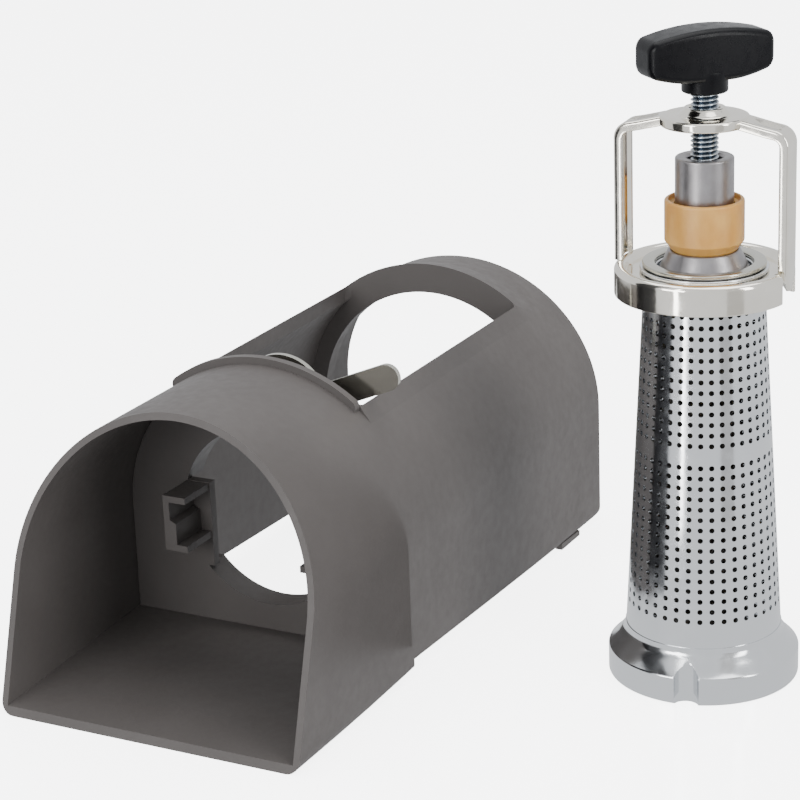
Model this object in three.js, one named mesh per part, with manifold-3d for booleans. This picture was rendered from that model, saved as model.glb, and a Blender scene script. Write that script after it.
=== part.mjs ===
// Purée strainer set for a kitchen mincer: a moulded catch housing and, beside it, the
// conical strainer with its pressure yoke, T-screw and nylon feed worm.
// Millimetres, +Z up, floor at z = 0, origin under the middle of the pair.
import * as THREE from "three";
import { mergeVertices } from "three/addons/utils/BufferGeometryUtils.js";
import Module from "manifold-3d";

const wasm = await Module();
wasm.setup();

// ---- driving dimensions ---------------------------------------------------------------
const GAP = 0.3;                 // clearance between separate pieces that touch
const TAU = Math.PI * 2;

// housing: x across, y from mouth to back, z up; x = 0 on its centre plane, y = 0 at the mouth
const HOUSE_R = 48.3;            // outer radius of the arch, half the width
const HOUSE_AXIS_Z = 39.2;       // height of the arch's centre
const HOUSE_LEN = 203.5;
const CHUTE_WALL = 2;
const HOOD_WALL = 2.6;
const FLOOR_T = 2.6;
const FLOOR_RISE = 3.3;          // the chute's floor slopes up this much from mouth to hood
const MOUTH_SLANT = 0.3;         // how far the mouth leans back for each mm of height
const CHUTE_END = 68;            // where the chute meets the hood
const HOOD_EDGE_FRONT = 5.6;     // height of the hood's open lower edge at the chute
const HOOD_EDGE_BACK = 1.4;      // and at the back
const TOP_OPEN = [73.9, 178];    // top opening, front and back
const TOP_OPEN_HALF = 30.6;      // its half width
const TOP_OPEN_CORNER = 2.5;
const LIP_R = 50.4;              // raised lip at the front of the top opening
const LIP_Y = [71.5, 74];
const LIP_HALF = 31.6;
const RIM_R = 49.5;              // low rim round the rest of the opening
const RIM_HALF = 34.4;           // half width where the rim meets the hood
const RIM_BACK = [178, 191];     // where it starts to run out, and where it ends
const RIM_SINK = 0.4;            // its end lies this far inside the hood's surface
const NUT_R = 40;                // arch hole that goes round the mincer's ring nut
const NUT_Y = [178, 183];
const BACK_ROUND = 2;            // round on the hood's back edge
const CROWN_FROM = 178;          // behind this the hood's crown falls
const CROWN_BACK = 0.948;        // to this share of the arch's height at the back
const FOOT_Y = [171.5, 185.5];

// cradle: the wall inside the housing that holds the strainer's flange
const AXIS_Z = 41.3;             // strainer's axis when it is fitted in the housing
const CRADLE_Y = [69.5, 72.3];
const CRADLE_R = 27.3;
const COLLAR_T = 2.6;
const COLLAR_END = 78.2;
const EAR_IN = 18.5;             // ears that narrow the opening, to stop the flange
const EAR_Z = [23.2, 49.5];
const CLIP_X = [18.8, 26.3];     // channel clips in front of the ears
const CLIP_Z = [32.3, 49.3];
const CLIP_Y = [56, 69.2];
const CLIP_T = 2;

// locking lever behind the cradle
const LEVER_Y = [79, 80.6];
const LEVER_C = [2.5, 74.6];     // pivot, x and z
const LEVER_DISC_R = 14;
const LEVER_W = 7.8;
const LEVER_REACH = 39.7;        // pivot to the tab's end
const LEVER_DROP = 2.8;          // the tab's centre line passes below the pivot
const LEVER_ANGLE = THREE.MathUtils.degToRad(22.5);
const PIN_R = 2.4;
const PIN_HEAD_R = 5;

// strainer, on its own axis, standing on its base flange
const FLANGE_R = 27;             // standard small mincer plate
const FLANGE_RIM_Z = 8.6;
const NOTCH_R = 3.6;             // half-round keyway
const NOTCH_ANGLE = THREE.MathUtils.degToRad(-79);
const CONE_Z = [15.5, 116.6];
const CONE_R = [21.9, 16.5];
const CONE_T = 1;
const RING_R = 17.7;
const RING_BORE = 12.9;
const RING_Z = [118.9, 121.3];
const PLUG_R = 10.9;             // end of the feed worm that shows in the yoke
const PLUG_Z = [125, 138.6];
const WORM_Z = [5, 112];
const WORM_TURNS = 5;
const WORM_CORE = [12.5, 9.8];   // core radius, low and high
const WORM_RIB = [0.9, 2.4];     // half thickness of the flight at its tip and root
const WORM_CLEAR = 0.9;          // between the flight and the cone
const NECK_R = 8.8;
const SOCKET_R = 4.6;            // steel drive sleeve in the worm's foot
const SOCKET_TOP = 30;
const SOCKET_SQUARE = 5.8;
const END_CONE_R = [12.4, 9.7];  // steel cone round the worm's neck, low and high
const END_CONE_Z = [118.4, 124.6];
const BUSH_R = 8;
const BUSH_Z = [130.5, 150.2];
const SCREW_R = 3.85;
const SCREW_Z = [142.5, 173];
const YOKE_TURN = THREE.MathUtils.degToRad(4.3);
const YOKE_SPAN = 24.4;          // axis to the outer face of a leg
const YOKE_T = 1.6;
const YOKE_W = 9.4;              // width of arms and legs
const YOKE_LIP = 2.6;            // depth of the turned-in edges
const YOKE_DISC_R = 12.1;
const YOKE_TOP_Z = 161.6;
const YOKE_DROOP = 2.2;          // how much lower the arms end than the disc
const BOSS_R = 6.2;
const BOSS_TOP_Z = 163.8;
const BASE_R = 24.7;             // yoke's base plate
const BASE_Z = [112.2, 118.6];
const BASE_RIM = 1.9;            // raised round rim of the base plate
const BASE_GATE = 6.5;           // half width of the gap in the skirt, where one leg passes
const BASE_GATE_X = 21.2;
const YOKE_TAB_Z = 114.5;        // how far that leg reaches down
const HANDLE_TURN = THREE.MathUtils.degToRad(48.2);
const HANDLE_HALF = 18;
const HANDLE_D = 12.4;
const HANDLE_Z = [171.2, 185.6];
const HUB_R = 6.3;
const HUB_Z0 = 167.9;

// where the two things stand
const HOUSE_AT = [-49.95, -101.75, 0];
const STRAINER_AT = [71.25, 5.65, 0];

// ---- looks ----------------------------------------------------------------------------
function material(color, roughness, metalness) {
  return new THREE.MeshStandardMaterial({ color, roughness, metalness });
}
const GREY = material(0x716c6c, 0.6, 0);
const STEEL = material(0xc9c7c1, 0.3, 1);
const NICKEL = material(0xe2ddd0, 0.15, 1);
const BRIGHT = material(0xd2d3d4, 0.2, 1);
const ZINC = material(0xb4c0cc, 0.35, 1);
const TURNED = material(0x8c8888, 0.4, 1);
const BLACK = material(0x1c1f22, 0.25, 0);
const NYLON = material(0xd9b06a, 0.45, 0);

// ---- solids ---------------------------------------------------------------------------
function solid(geometry) {
  const g = geometry.clone();
  g.deleteAttribute("normal");
  g.deleteAttribute("uv");
  const m = mergeVertices(g, 1e-4);
  const triVerts = new Uint32Array(m.index.array);
  const vertProperties = new Float32Array(m.attributes.position.array);
  return new wasm.Manifold(new wasm.Mesh({ numProp: 3, vertProperties, triVerts }));
}

function geometryOf(manifold) {
  const mesh = manifold.getMesh();
  const g = new THREE.BufferGeometry();
  g.setAttribute("position", new THREE.BufferAttribute(new Float32Array(mesh.vertProperties), 3));
  g.setIndex(new THREE.BufferAttribute(new Uint32Array(mesh.triVerts), 1));
  g.computeVertexNormals();
  return g;
}

// joins the first list of geometries, then cuts the second list out
function build(adds, cuts = []) {
  let body = solid(adds[0]);
  for (const g of adds.slice(1)) body = body.add(solid(g));
  for (const g of cuts) body = body.subtract(solid(g));
  return geometryOf(body);
}

function node(name, geometry, look, parent) {
  const mesh = new THREE.Mesh(geometry, look);
  mesh.name = name;
  parent.add(mesh);
  return mesh;
}

// a flat outline given in (x, z), swept along +y from y0 to y1
function alongY(shape, y0, y1, curveSegments = 28) {
  const g = new THREE.ExtrudeGeometry(shape, { depth: y1 - y0, bevelEnabled: false, curveSegments });
  g.rotateX(Math.PI / 2);
  return g.translate(0, y1, 0);
}

// a flat outline given in (y, z), swept along +x from x0 to x1
function alongX(shape, x0, x1, curveSegments = 16) {
  const g = new THREE.ExtrudeGeometry(shape, { depth: x1 - x0, bevelEnabled: false, curveSegments });
  const turn = new THREE.Matrix4().makeBasis(
    new THREE.Vector3(0, 1, 0), new THREE.Vector3(0, 0, 1), new THREE.Vector3(1, 0, 0));
  return g.applyMatrix4(turn).translate(x0, 0, 0);
}

// a flat outline given in (x, y), swept up from z0 to z1
function alongZ(shape, z0, z1, curveSegments = 40) {
  const g = new THREE.ExtrudeGeometry(shape, { depth: z1 - z0, bevelEnabled: false, curveSegments });
  return g.translate(0, 0, z0);
}

function polygon(points) {
  return new THREE.Shape(points.map(([a, b]) => new THREE.Vector2(a, b)));
}

function box(x0, x1, y0, y1, z0, z1) {
  const g = new THREE.BoxGeometry(x1 - x0, y1 - y0, z1 - z0);
  return g.translate((x0 + x1) / 2, (y0 + y1) / 2, (z0 + z1) / 2);
}

// a body turned about z from [radius, height] points
function turned(points, segments = 48) {
  const g = new THREE.LatheGeometry(points.map(([r, z]) => new THREE.Vector2(r, z)), segments);
  return g.rotateX(Math.PI / 2);
}

// a cylinder lying along y
function rodY(x, z, r, y0, y1, segments = 40) {
  const g = new THREE.CylinderGeometry(r, r, y1 - y0, segments);
  return g.translate(x, (y0 + y1) / 2, z);
}

// ---- housing --------------------------------------------------------------------------
// arch on straight sides, down to height z0; its height is a share of its radius
function archShape(radius, z0, share = 1) {
  const s = new THREE.Shape();
  s.moveTo(-radius, z0);
  s.lineTo(radius, z0);
  s.lineTo(radius, HOUSE_AXIS_Z);
  s.absellipse(0, HOUSE_AXIS_Z, radius, radius * share, 0, Math.PI, false, 0);
  s.lineTo(-radius, z0);
  return s;
}

// everything below the chute's sloping floor, with the floor's height at the mouth given
function underFloor(z) {
  const slope = FLOOR_RISE / CHUTE_END;
  const [y0, y1] = [-20, CHUTE_END + 20];
  return alongX(polygon([[y0, -30], [y1, -30], [y1, z + y1 * slope], [y0, z + y0 * slope]]), -60, 60);
}

function chute() {
  const outer = alongY(archShape(HOUSE_R, -5), -1, CHUTE_END);
  const tongue = box(-44.5, 44.5, CHUTE_END - 2, CRADLE_Y[1] + 2, 0, FLOOR_RISE + FLOOR_T);
  const inner = build([alongY(archShape(HOUSE_R - CHUTE_WALL, -6), -2, CHUTE_END + 1)], [underFloor(FLOOR_T)]);
  const high = 120;
  const front = polygon([[-20, -10], [-10 * MOUTH_SLANT, -10], [high * MOUTH_SLANT, high], [-20, high]]);
  return build([outer, tongue], [inner, underFloor(0), alongX(front, -60, 60)]);
}

function topOpening() {
  const c = TOP_OPEN_CORNER;
  const [y0, y1] = TOP_OPEN;
  const h = TOP_OPEN_HALF;
  const s = new THREE.Shape();
  s.moveTo(-h + c, y0);
  s.lineTo(h - c, y0);
  s.quadraticCurveTo(h, y0, h, y0 + c);
  s.lineTo(h, y1 - c);
  s.quadraticCurveTo(h, y1, h - c, y1);
  s.lineTo(-h + c, y1);
  s.quadraticCurveTo(-h, y1, -h, y1 - c);
  s.lineTo(-h, y0 + c);
  s.quadraticCurveTo(-h, y0, -h + c, y0);
  return alongZ(s, 60, 120, 5);
}

// raised lip: a thick band of the arch, wide enough to span the opening
function lip() {
  const half = Math.asin(LIP_HALF / LIP_R);
  const up = Math.PI / 2;
  const s = new THREE.Shape();
  s.absarc(0, HOUSE_AXIS_Z, LIP_R, up - half, up + half, false);
  s.absarc(0, HOUSE_AXIS_Z, HOUSE_R - 1, up + half, up - half, true);
  return alongY(s, LIP_Y[0], LIP_Y[1], 28);
}

// height of the hood's arch at y, as a share of its radius
function crownShare(y) {
  const t = Math.max(y - CROWN_FROM, 0) / (HOUSE_LEN - BACK_ROUND - CROWN_FROM);
  return 1 - (1 - CROWN_BACK) * t;
}

// section of the rim: an arc over the opening and a flat shoulder down to the hood on each side
function rimSection(radius, y0, y1) {
  const half = Math.asin(TOP_OPEN_HALF / radius);
  const share = crownShare(y1);
  const foot = HOUSE_AXIS_Z + share * Math.sqrt(HOUSE_R ** 2 - RIM_HALF ** 2) - 0.2;
  const s = new THREE.Shape();
  s.moveTo(RIM_HALF, foot);
  s.absellipse(0, HOUSE_AXIS_Z, radius, radius * share, Math.PI / 2 - half, Math.PI / 2 + half, false, 0);
  s.lineTo(-RIM_HALF, foot);
  return alongY(s, y0, y1, 16);
}

// the rim, which runs out into the hood behind the opening
function rim() {
  const [from, end] = RIM_BACK;
  const slice = 0.1;
  const slices = [rimSection(RIM_R, from - slice, from), rimSection(HOUSE_R - RIM_SINK, end - slice, end)];
  const ramp = wasm.Manifold.hull(slices.map(solid));
  return geometryOf(solid(rimSection(RIM_R, LIP_Y[1] - slice, from)).add(ramp));
}

function hood() {
  const r = BACK_ROUND;
  const slice = 0.1;
  const crownEnd = HOUSE_LEN - r;
  const shell = alongY(archShape(HOUSE_R, 0), CHUTE_END + GAP, CROWN_FROM);
  const slices = [alongY(archShape(HOUSE_R, 0), CROWN_FROM - slice, CROWN_FROM),
    alongY(archShape(HOUSE_R, 0, CROWN_BACK), crownEnd - slice, crownEnd)];
  const crown = geometryOf(wasm.Manifold.hull(slices.map(solid)));
  const rounds = [];
  const steps = 4;
  for (let i = 0; i < steps; i++) {
    const a = (i + 1) / steps * Math.PI / 2;
    const inset = r * (1 - Math.cos(a));
    const y0 = crownEnd + r * Math.sin(a - Math.PI / 2 / steps) - 0.01;
    rounds.push(alongY(archShape(HOUSE_R - inset * 0.8, 0, CROWN_BACK), y0, crownEnd + r * Math.sin(a)));
  }
  const inner = alongY(archShape(HOUSE_R - HOOD_WALL, -5), CHUTE_END - 1, NUT_Y[0]);
  const nutHole = alongY(archShape(NUT_R, -5), NUT_Y[0] - 1, NUT_Y[1] + 1);
  const backInner = alongY(archShape(HOUSE_R - HOOD_WALL, -5, CROWN_BACK), NUT_Y[1], HOUSE_LEN + 1);
  const edge = polygon([[CHUTE_END - 1, -3], [HOUSE_LEN + 1, -3],
    [HOUSE_LEN + 1, HOOD_EDGE_BACK], [CHUTE_END - 1, HOOD_EDGE_FRONT]]);
  const cuts = [inner, nutHole, backInner, topOpening(), alongX(edge, -60, 60)];
  return build([shell, crown, ...rounds, lip(), rim()], cuts);
}

function hoodEdgeZ(y) {
  const t = (y - CHUTE_END) / (HOUSE_LEN - CHUTE_END);
  return HOOD_EDGE_FRONT + (HOOD_EDGE_BACK - HOOD_EDGE_FRONT) * t;
}

function foot(side) {
  const inner = HOUSE_R - HOOD_WALL + 0.2;
  const outer = HOUSE_R - 0.2;
  const [y0, y1] = FOOT_Y;
  const s = polygon([[y0, 0], [y1, 0], [y1, hoodEdgeZ(y1) - GAP], [y0, hoodEdgeZ(y0) - GAP]]);
  return side > 0 ? alongX(s, inner, outer) : alongX(s, -outer, -inner);
}

// opening of the cradle: a circle with an ear on each side
function cradleOpening() {
  const circle = rodY(0, AXIS_Z, CRADLE_R, CRADLE_Y[0] - 2, COLLAR_END + 2, 48);
  const ears = [-1, 1].map((side) => {
    const x = [side * EAR_IN, side * 40].sort((a, b) => a - b);
    return box(x[0], x[1], CRADLE_Y[0] - 3, CRADLE_Y[1], EAR_Z[0], EAR_Z[1]);
  });
  let hole = solid(circle);
  for (const e of ears) hole = hole.subtract(solid(e));
  return geometryOf(hole);
}

function cradle() {
  const floor = FLOOR_RISE + FLOOR_T + GAP;
  const plate = alongY(archShape(HOUSE_R - HOOD_WALL - GAP, floor), CRADLE_Y[0], CRADLE_Y[1]);
  const ring = rodY(0, AXIS_Z, CRADLE_R + COLLAR_T, CRADLE_Y[1] - 0.5, COLLAR_END, 48);
  const collar = build([ring], [box(-40, 40, CRADLE_Y[1], COLLAR_END + 1, EAR_Z[0], EAR_Z[1])]);
  const boss = rodY(LEVER_C[0], LEVER_C[1], 5.5, CRADLE_Y[1] - 0.5, LEVER_Y[0] - GAP, 32);
  const pinHole = rodY(LEVER_C[0], LEVER_C[1], PIN_R + 0.2, CRADLE_Y[1] + 1, LEVER_Y[1] + 2, 32);
  return build([plate, collar, boss], [cradleOpening(), pinHole]);
}

// channel clip, open towards the middle, with a thicker lower half to its base
function clip(side) {
  const [a, b] = CLIP_X.map((x) => side * x);
  const t = side * CLIP_T;
  const mid = (CLIP_Z[0] + CLIP_Z[1]) / 2;
  const s = polygon([[a, CLIP_Z[0]], [a, CLIP_Z[0] + CLIP_T], [b - 2 * t, CLIP_Z[0] + CLIP_T],
    [b - 2 * t, mid], [b - t, mid + 1], [b - t, CLIP_Z[1] - CLIP_T],
    [a, CLIP_Z[1] - CLIP_T], [a, CLIP_Z[1]], [b, CLIP_Z[1]], [b, CLIP_Z[0]]]);
  return alongY(s, CLIP_Y[0], CLIP_Y[1]);
}

function lockLever() {
  const [x, z] = LEVER_C;
  const w = LEVER_W / 2;
  const reach = LEVER_REACH - w;
  const outline = new THREE.Shape();
  outline.moveTo(0, -LEVER_DROP - w);
  outline.lineTo(reach, -LEVER_DROP - w);
  outline.absarc(reach, -LEVER_DROP, w, -Math.PI / 2, Math.PI / 2, false);
  outline.lineTo(0, w - LEVER_DROP);
  const tab = alongY(outline, LEVER_Y[0], LEVER_Y[1], 14);
  tab.rotateY(-LEVER_ANGLE).translate(x, 0, z);
  const disc = rodY(x, z, LEVER_DISC_R, LEVER_Y[0], LEVER_Y[1], 56);
  const flat = box(-30, -8.5, LEVER_Y[0] - 1, LEVER_Y[1] + 1, -30, 30);
  flat.rotateY(THREE.MathUtils.degToRad(12)).translate(x, 0, z);
  const bore = rodY(x, z, PIN_R + 0.1, LEVER_Y[0] - 1, LEVER_Y[1] + 1, 32);
  return build([disc, tab], [flat, bore]);
}

function leverPin() {
  const [x, z] = LEVER_C;
  const shank = rodY(x, z, PIN_R, CRADLE_Y[1] + 1.5, LEVER_Y[1] + 1, 32);
  const head = new THREE.SphereGeometry(PIN_HEAD_R * 1.25, 24, 12);
  head.scale(1, 0.42, 1).translate(x, LEVER_Y[1] + 0.2, z);
  const below = box(x - 20, x + 20, LEVER_Y[0] - 10, LEVER_Y[1] + 0.2, z - 20, z + 20);
  const cap = build([head], [below]);
  return build([shank, cap]);
}

const house = new THREE.Group();
house.position.set(...HOUSE_AT);
node("chute", chute(), GREY, house);
node("hood", hood(), GREY, house);
node("cradle", cradle(), GREY, house);
node("clip_left", clip(-1), GREY, house);
node("clip_right", clip(1), GREY, house);
node("foot_left", foot(-1), GREY, house);
node("foot_right", foot(1), GREY, house);
node("lever_pin", leverPin(), STEEL, house);
node("lock_lever", lockLever(), STEEL, house);

// ---- strainer -------------------------------------------------------------------------
function baseFlange() {
  const inner = CONE_R[0] - CONE_T - 0.2;
  const ring = turned([
    [inner, 1.2], [inner + 0.8, 0], [FLANGE_R - 0.6, 0], [FLANGE_R, 0.6], [FLANGE_R, FLANGE_RIM_Z - 0.7],
    [FLANGE_R - 0.5, FLANGE_RIM_Z], [24.2, 11.4], [23, 12.9], [22.3, CONE_Z[0] - GAP], [inner, CONE_Z[0] - GAP],
    [inner, 1.2]], 56);
  const r = FLANGE_R + 0.6;
  const notch = new THREE.CylinderGeometry(NOTCH_R, NOTCH_R, 3 * FLANGE_RIM_Z, 32).rotateX(Math.PI / 2);
  notch.translate(r * Math.cos(NOTCH_ANGLE), r * Math.sin(NOTCH_ANGLE), 0);
  return build([ring], [notch]);
}

function sieveCone() {
  const [z0, z1] = CONE_Z;
  const [r0, r1] = CONE_R;
  return turned([[r0 - CONE_T, z0], [r0, z0], [r1, z1], [r1, RING_Z[0] - GAP], [r1 - CONE_T, RING_Z[0] - GAP],
    [r1 - CONE_T, z1], [r0 - CONE_T, z0]], 56);
}

function outletRing(z0, z1, outer, bore) {
  return turned([[bore, z0], [outer - 0.3, z0], [outer, z0 + 0.3], [outer, z1 - 0.3], [outer - 0.3, z1],
    [bore + 0.4, z1], [bore, z1 - 0.4], [bore, z0]], 48);
}

// base of the yoke: a dished cap round the cone's neck, with a gap in its skirt for one leg
function yokeBase() {
  const [z0, z1] = BASE_Z;
  const neck = CONE_R[1] + 0.35;
  const top = z1 + BASE_RIM;
  const cap = turned([[neck, z1 - YOKE_T], [BASE_R - YOKE_T, z1 - YOKE_T], [BASE_R - YOKE_T, z0],
    [BASE_R, z0], [BASE_R, top - 1.6], [BASE_R - 0.5, top - 0.5], [BASE_R - 1.6, top], [BASE_R - 2.8, top - 0.5],
    [BASE_R - 4, z1], [neck, z1], [neck, z1 - YOKE_T]], 56);
  const gate = box(BASE_GATE_X, 40, -BASE_GATE, BASE_GATE, 0, 200);
  return build([cap], [gate]);
}

// one channel-shaped strap: arm from the disc, round bend, leg down to the base
function strap(side) {
  const legTop = YOKE_TOP_Z - YOKE_DROOP;
  const bend = 4.5;
  const x1 = YOKE_SPAN;
  const footZ = side > 0 ? YOKE_TAB_Z : BASE_Z[1] + BASE_RIM + GAP;
  const outer = new THREE.Shape();
  outer.moveTo(0, YOKE_TOP_Z);
  outer.lineTo(YOKE_DISC_R - 2, YOKE_TOP_Z);
  outer.lineTo(x1 - bend, legTop);
  outer.quadraticCurveTo(x1, legTop, x1, legTop - bend);
  outer.lineTo(x1, footZ);
  outer.lineTo(x1 - YOKE_LIP, footZ);
  outer.lineTo(x1 - YOKE_LIP, legTop - bend);
  outer.quadraticCurveTo(x1 - YOKE_LIP, legTop - YOKE_LIP, x1 - bend, legTop - YOKE_LIP);
  outer.lineTo(YOKE_DISC_R - 2, YOKE_TOP_Z - YOKE_LIP);
  outer.lineTo(0, YOKE_TOP_Z - YOKE_LIP);
  const face = new THREE.ExtrudeGeometry(outer, { depth: YOKE_W, bevelEnabled: false, curveSegments: 8 });
  face.rotateX(Math.PI / 2).translate(0, YOKE_W / 2, 0);
  // the hollow of the channel, open on the inner side
  const hollow = new THREE.Shape();
  const t = 1;
  hollow.moveTo(YOKE_DISC_R, YOKE_TOP_Z - t);
  hollow.lineTo(x1 - bend, legTop - t);
  hollow.quadraticCurveTo(x1 - t, legTop - t, x1 - t, legTop - bend);
  hollow.lineTo(x1 - t, footZ + 2);
  hollow.lineTo(x1 - 6, footZ + 2);
  hollow.lineTo(x1 - 6, legTop - 7);
  hollow.lineTo(YOKE_DISC_R, YOKE_TOP_Z - 7);
  const cut = new THREE.ExtrudeGeometry(hollow, { depth: YOKE_W - 2 * t, bevelEnabled: false, curveSegments: 8 });
  cut.rotateX(Math.PI / 2).translate(0, YOKE_W / 2 - t, 0);
  const piece = build([face], [cut]);
  return side > 0 ? piece : piece.rotateZ(Math.PI);
}

function yokeStrap() {
  const disc = turned([[0, YOKE_TOP_Z - YOKE_LIP], [YOKE_DISC_R - 0.4, YOKE_TOP_Z - YOKE_LIP],
    [YOKE_DISC_R, YOKE_TOP_Z - YOKE_LIP + 0.4], [YOKE_DISC_R, YOKE_TOP_Z - 0.4],
    [YOKE_DISC_R - 0.4, YOKE_TOP_Z], [BOSS_R + 0.8, YOKE_TOP_Z], [BOSS_R, YOKE_TOP_Z + 0.6],
    [BOSS_R - 0.7, BOSS_TOP_Z], [0, BOSS_TOP_Z]], 40);
  const bore = turned([[0, 150], [SCREW_R + 0.15, 150], [SCREW_R + 0.15, 170], [0, 170]], 40);
  return build([strap(1), strap(-1), disc], [bore]);
}

function thrustBush() {
  const [z0, z1] = BUSH_Z;
  const socket = SCREW_R + 0.9;
  return turned([[0, z0], [BUSH_R - 0.5, z0], [BUSH_R, z0 + 0.5], [BUSH_R, z1 - 0.5], [BUSH_R - 0.5, z1],
    [socket + 0.5, z1], [socket, z1 - 0.5], [socket, SCREW_Z[0] - GAP], [0, SCREW_Z[0] - GAP]], 40);
}

function screw() {
  const [z0, z1] = SCREW_Z;
  return turned([[0, z0], [SCREW_R - 1, z0], [SCREW_R, z0 + 1], [SCREW_R, z1], [0, z1]], 32);
}

// T-handle: arched bar, narrower towards its ends, on a round hub
function teeHandle() {
  const [z0, z1] = HANDLE_Z;
  const h = HANDLE_HALF;
  const bar = new THREE.Shape();
  bar.moveTo(-HUB_R, z0);
  bar.lineTo(HUB_R, z0);
  bar.quadraticCurveTo(h - 2, z0 + 1.4, h - 0.5, z0 + 3);
  bar.quadraticCurveTo(h + 0.6, z1 - 6, h - 1, z1 - 2.9);
  bar.quadraticCurveTo(0, z1 + 2.9, -h + 1, z1 - 2.9);
  bar.quadraticCurveTo(-h - 0.6, z1 - 6, -h + 0.5, z0 + 3);
  bar.quadraticCurveTo(-h + 2, z0 + 1.4, -HUB_R, z0);
  const d = HANDLE_D / 2;
  const face = alongY(bar, -d, d, 12);
  // plan view: fullest in the middle
  const plan = new THREE.Shape();
  plan.moveTo(-h - 1, -d + 2.2);
  plan.quadraticCurveTo(0, -d - 1.8, h + 1, -d + 2.2);
  plan.lineTo(h + 1, d - 2.2);
  plan.quadraticCurveTo(0, d + 1.8, -h - 1, d - 2.2);
  const limit = alongZ(plan, z0 - 2, z1 + 5, 12);
  const bars = solid(face).intersect(solid(limit));
  const hub = turned([[0, HUB_Z0], [HUB_R - 0.5, HUB_Z0], [HUB_R, HUB_Z0 + 0.5], [HUB_R, z0 + 1.5], [0, z0 + 1.5]], 40);
  const socket = turned([[0, HUB_Z0 - 1], [SCREW_R + GAP, HUB_Z0 - 1], [SCREW_R + GAP, SCREW_Z[1] + GAP],
    [0, SCREW_Z[1] + GAP]], 32);
  return build([geometryOf(bars), hub], [socket]);
}

// radius that the feed worm's flight reaches at height z, clear of the cone
function flightRadius(z) {
  const [z0, z1] = CONE_Z;
  const [r0, r1] = CONE_R;
  const k = Math.min(Math.max((z - z0) / (z1 - z0), 0), 1);
  return r0 + (r1 - r0) * k - CONE_T - WORM_CLEAR;
}

// closed helical rib whose inner edge is buried in the core
function wormFlight() {
  const steps = WORM_TURNS * 20;
  const positions = [];
  const index = [];
  const [z0, z1] = [WORM_Z[0] + 3, WORM_Z[1] - 6];
  for (let i = 0; i <= steps; i++) {
    const k = i / steps;
    const a = k * WORM_TURNS * TAU;
    const z = z0 + (z1 - z0) * k;
    const core = WORM_CORE[0] + (WORM_CORE[1] - WORM_CORE[0]) * k - 1;
    const tip = flightRadius(z + 2);
    const [t, b] = WORM_RIB;
    const ring = [[core, z - b], [tip, z - t], [tip, z + t], [core, z + b]];
    for (const [r, h] of ring) positions.push(r * Math.cos(a), r * Math.sin(a), h);
  }
  for (let i = 0; i < steps; i++) {
    for (let j = 0; j < 4; j++) {
      const a = i * 4 + j;
      const b = i * 4 + (j + 1) % 4;
      index.push(a, a + 4, b, b, a + 4, b + 4);
    }
  }
  const end = steps * 4;
  index.push(0, 1, 2, 0, 2, 3);
  index.push(end, end + 2, end + 1, end, end + 3, end + 2);
  const g = new THREE.BufferGeometry();
  g.setAttribute("position", new THREE.Float32BufferAttribute(positions, 3));
  g.setIndex(index);
  return g;
}

function feedWorm() {
  const [p0, p1] = PLUG_Z;
  const neck = NECK_R;
  const core = turned([[0, WORM_Z[0]], [WORM_CORE[0] - 1, WORM_Z[0]], [WORM_CORE[0], WORM_Z[0] + 1],
    [WORM_CORE[1], WORM_Z[1]], [neck, WORM_Z[1] + 2], [neck, p0 - 0.5], [neck + 0.3, p0], [PLUG_R, p0 + 2.4],
    [PLUG_R, p1 - 0.6], [PLUG_R - 0.6, p1], [PLUG_R - 1.3, p1], [PLUG_R - 1.5, p1 - 1.4],
    [BUSH_R + GAP, p1 - 1.4], [BUSH_R + GAP, BUSH_Z[0] - GAP], [0, BUSH_Z[0] - GAP]], 40);
  const socket = turned([[0, WORM_Z[0] - 1], [SOCKET_R + GAP, WORM_Z[0] - 1],
    [SOCKET_R + GAP, SOCKET_TOP + GAP], [0, SOCKET_TOP + GAP]], 32);
  return build([core, wormFlight()], [socket]);
}

// square-bored steel sleeve that takes the mincer's drive
function driveSocket() {
  const sleeve = turned([[0, WORM_Z[0]], [SOCKET_R, WORM_Z[0]], [SOCKET_R, SOCKET_TOP], [0, SOCKET_TOP]], 32);
  const h = SOCKET_SQUARE / 2;
  const square = box(-h, h, -h, h, 0, SOCKET_TOP - 4);
  return build([sleeve], [square]);
}

// steel cone round the worm's neck, which closes the outlet round the worm
function endCone() {
  const [r0, r1] = END_CONE_R;
  const [z0, z1] = END_CONE_Z;
  const bore = NECK_R + GAP;
  return turned([[bore, z0], [r0, z0], [r0, z0 + 1], [r0 - 1.4, z0 + 2.4], [r1 + 0.1, z1 - 1.2], [r1, z1], [bore, z1],
    [bore, z0]]);
}

const strainer = new THREE.Group();
strainer.position.set(...STRAINER_AT);
node("base_flange", baseFlange(), BRIGHT, strainer);
node("sieve_cone", sieveCone(), BRIGHT, strainer);
const ringMid = (RING_Z[0] + RING_Z[1]) / 2;
node("outlet_ring", outletRing(RING_Z[0], ringMid - GAP / 2, RING_R, RING_BORE), BRIGHT, strainer);
node("wear_ring", outletRing(ringMid + GAP / 2, RING_Z[1], RING_R - 0.7, RING_BORE + 0.5), STEEL, strainer);

const yoke = new THREE.Group();
yoke.rotation.z = YOKE_TURN;
strainer.add(yoke);
node("yoke_base", yokeBase(), NICKEL, yoke);
node("yoke_strap", yokeStrap(), NICKEL, yoke);

node("feed_worm", feedWorm(), NYLON, strainer);
node("drive_socket", driveSocket(), STEEL, strainer);
node("end_cone", endCone(), BRIGHT, strainer);
node("thrust_bush", thrustBush(), TURNED, strainer);
node("pressure_screw", screw(), ZINC, strainer);
const handle = node("tee_handle", teeHandle(), BLACK, strainer);
handle.rotation.z = HANDLE_TURN;

const ricer = new THREE.Group();
ricer.add(house, strainer);
export default ricer;
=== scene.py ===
import math

import bmesh
import bpy
from mathutils import Matrix, Vector


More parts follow.
